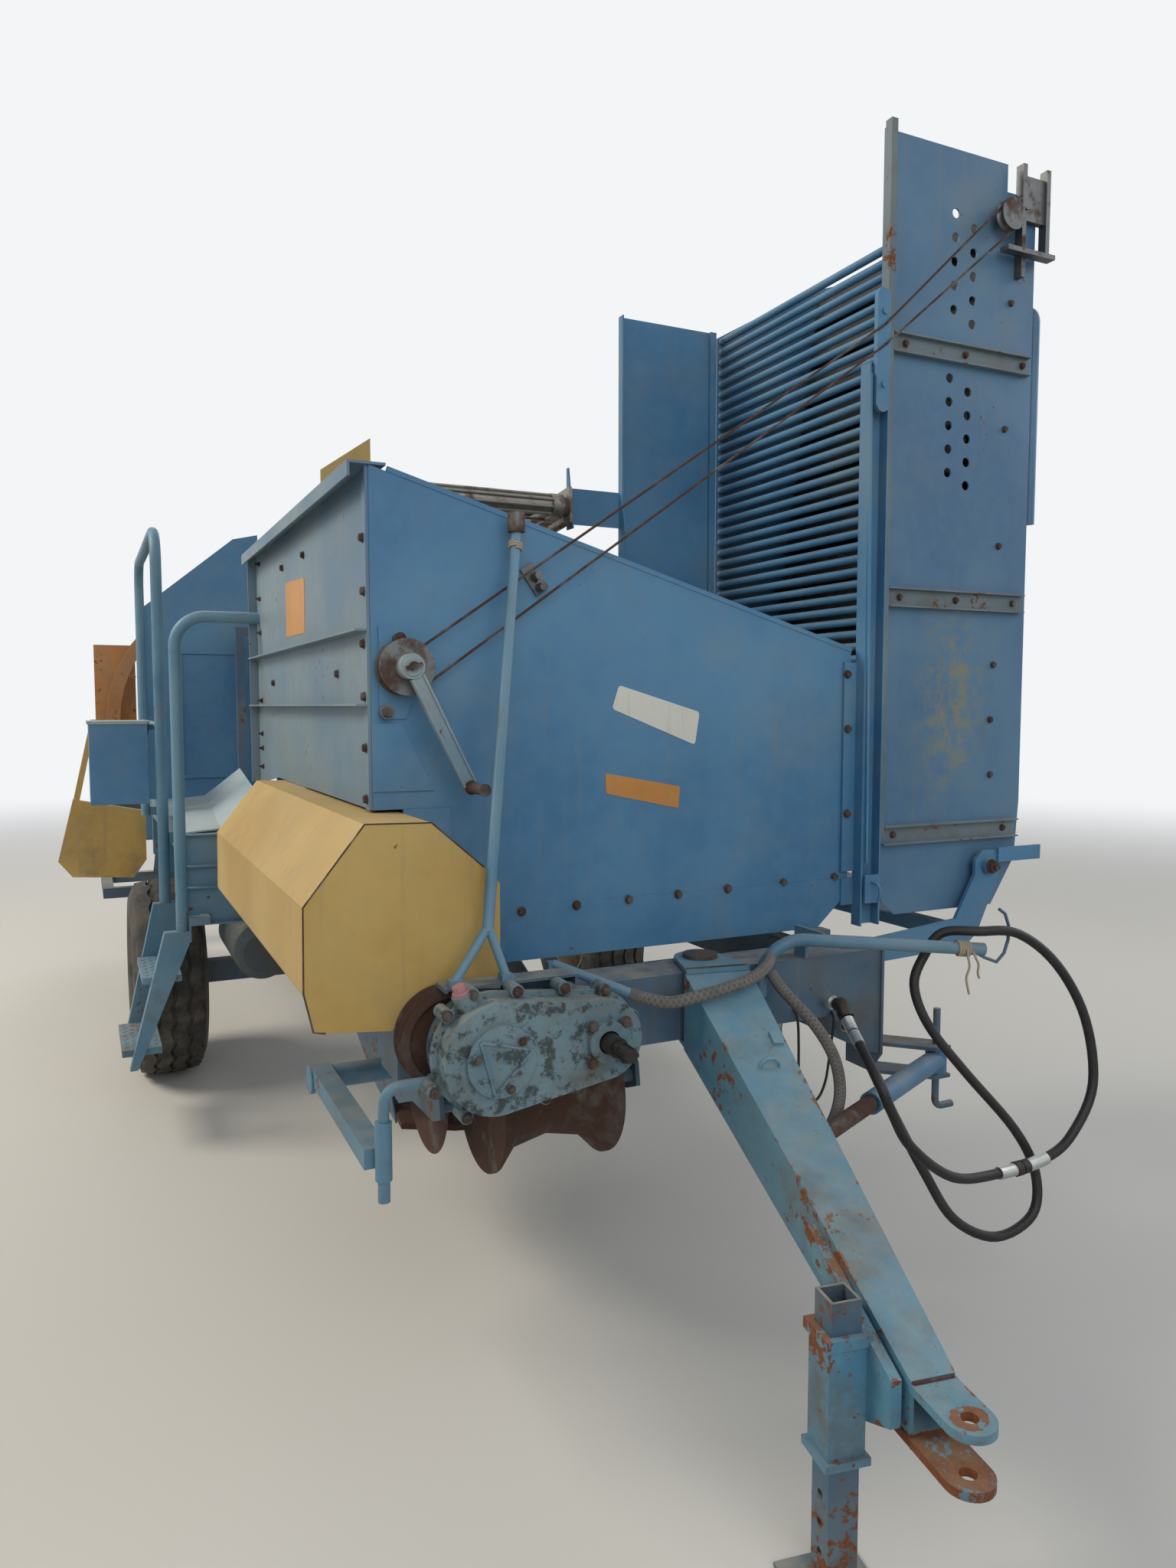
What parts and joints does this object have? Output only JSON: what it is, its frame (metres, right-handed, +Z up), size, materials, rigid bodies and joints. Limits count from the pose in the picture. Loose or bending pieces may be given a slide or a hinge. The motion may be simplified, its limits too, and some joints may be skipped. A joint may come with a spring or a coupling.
{
  "type": "potato digger",
  "caption": "One-row trailed potato digger with a bunker, a tilting unloading elevator, sieving webs and a ring elevator, parked on its leg",
  "frame": {"origin": "on the ground, under the middle of the machine's box as it stands parked", "axes": "+X is the machine's left, -Y its hitch end, +Z up; right-handed"},
  "size_m": [2.876, 6.4535, 3.248],
  "materials": {
    "blue_paint": "weathered satin",
    "ochre_paint": "faded satin",
    "orange_paint": "worn satin",
    "rusty_steel": "rusted",
    "worn_steel": "worn and dusty",
    "tyre_rubber": "dusty",
    "web_rubber": "dusty",
    "black_hose": "satin",
    "grey_hose": "braided",
    "rim_paint": "dirty satin"
  },
  "bodies": {
    "frame": {"front_wall": "blue_paint", "right_wall": "blue_paint", "rear_wall": "blue_paint", "bunker_floor": "worn_steel", "guide_post": "blue_paint", "front_beam": "blue_paint", "main_frame": "blue_paint", "axle": "blue_paint", "air_tank": "blue_paint", "hinge_arms": "blue_paint", "winch": "rusty_steel", "winch_rope": "worn_steel", "tackle_rope": "worn_steel", "gearbox": "blue_paint", "gear_bracket": "blue_paint", "front_guard": "ochre_paint", "lever": "blue_paint", "drawbar_pin": "blue_paint", "strut_bracket": "blue_paint", "digger_frame": "blue_paint", "share": "rusty_steel", "side_arm": "blue_paint", "first_web": "worn_steel", "second_web": "worn_steel", "web_sides": "blue_paint", "ring_frame": "blue_paint", "ring_panel": "blue_paint", "rear_guard": "ochre_paint", "sorting_table": "worn_steel", "platform": "blue_paint", "handrails": "blue_paint", "ladder": "blue_paint", "toolbox": "blue_paint", "stone_chute": "blue_paint", "hose_carrier": "blue_paint", "coupler": "worn_steel", "hose_black": "black_hose", "hose_grey": "grey_hose", "hose_loop": "grey_hose"},
    "wheel_right": {"tyre_right": "tyre_rubber", "rim_right": "rim_paint"},
    "wheel_left": {"tyre_left": "tyre_rubber", "rim_left": "rim_paint"},
    "elevator": {"elevator_casing": "blue_paint", "elevator_tubes": "blue_paint", "elevator_web": "web_rubber", "elevator_head": "worn_steel"},
    "pto": {"pto_shaft": "worn_steel"},
    "pulley": {"drive_pulley": "rusty_steel"},
    "bar": {"drawbar": "blue_paint"},
    "leg": {"parking_leg": "blue_paint"},
    "sleeve": {"strut_sleeve": "blue_paint"},
    "rod": {"strut_rod": "worn_steel"},
    "roller": {"depth_roller": "rusty_steel"},
    "disc_right": {"coulter_right": "rusty_steel"},
    "disc_left": {"coulter_left": "rusty_steel"},
    "ring": {"ring_elevator": "orange_paint"},
    "lid": {"toolbox_lid": "blue_paint"}
  },
  "joints": [
    {"name": "wheel_right_turn", "type": "hinge", "parent": "frame", "child": "wheel_right", "pos_m": [-1.03, 0.56, 0.4225], "axis": [1, 0, 0], "continuous": true},
    {"name": "wheel_left_turn", "type": "hinge", "parent": "frame", "child": "wheel_left", "pos_m": [1.03, 0.56, 0.4225], "axis": [1, 0, 0], "continuous": true},
    {"name": "elevator_tilt", "type": "hinge", "parent": "frame", "child": "elevator", "pos_m": [1.184, -1.51, 1.107], "axis": [0, 1, 0], "range_deg": [0, 50]},
    {"name": "drawbar_swing", "type": "hinge", "parent": "frame", "child": "bar", "pos_m": [0.1, -2.06, 0.845], "axis": [0, 0, 1], "range_deg": [-6, 9.4]},
    {"name": "leg_slide", "type": "slide", "parent": "bar", "child": "leg", "axis": [0, 0, 1], "range_m": [0, 0.22]},
    {"name": "strut_swing", "type": "hinge", "parent": "frame", "child": "sleeve", "pos_m": [0.788, -2.2, 0.615], "axis": [0, 0, 1], "range_deg": [-1.28, 2.01]},
    {"name": "strut_slide", "type": "slide", "parent": "sleeve", "child": "rod", "axis": [-0.9056, -0.4241, 0], "range_m": [-0.0706, 0.0451]},
    {"name": "pto_turn", "type": "hinge", "parent": "frame", "child": "pto", "pos_m": [-0.34, -2.39, 0.88], "axis": [0, 1, 0], "continuous": true},
    {"name": "pulley_turn", "type": "hinge", "parent": "frame", "child": "pulley", "pos_m": [-0.645, -2.23, 0.884], "axis": [0, 1, 0], "continuous": true},
    {"name": "roller_turn", "type": "hinge", "parent": "frame", "child": "roller", "pos_m": [-0.27, -1.85, 0.58], "axis": [1, 0, 0], "continuous": true},
    {"name": "coulter_right_turn", "type": "hinge", "parent": "frame", "child": "disc_right", "pos_m": [-0.505, -1.6, 0.565], "axis": [1, 0, 0], "continuous": true},
    {"name": "coulter_left_turn", "type": "hinge", "parent": "frame", "child": "disc_left", "pos_m": [-0.035, -1.6, 0.565], "axis": [1, 0, 0], "continuous": true},
    {"name": "ring_turn", "type": "hinge", "parent": "frame", "child": "ring", "pos_m": [-0.35, 2.8, 1.5], "axis": [0, 1, 0], "continuous": true},
    {"name": "lid_turn", "type": "hinge", "parent": "frame", "child": "lid", "pos_m": [-1.093, 0.325, 1.5363], "axis": [0, 1, 0], "range_deg": [0, 95]}
  ],
  "couplings": [
    {"joint": "strut_swing", "follows": "drawbar_swing", "ratio": 0.21},
    {"joint": "strut_slide", "follows": "drawbar_swing", "m_per_rad": -0.4221}
  ]
}
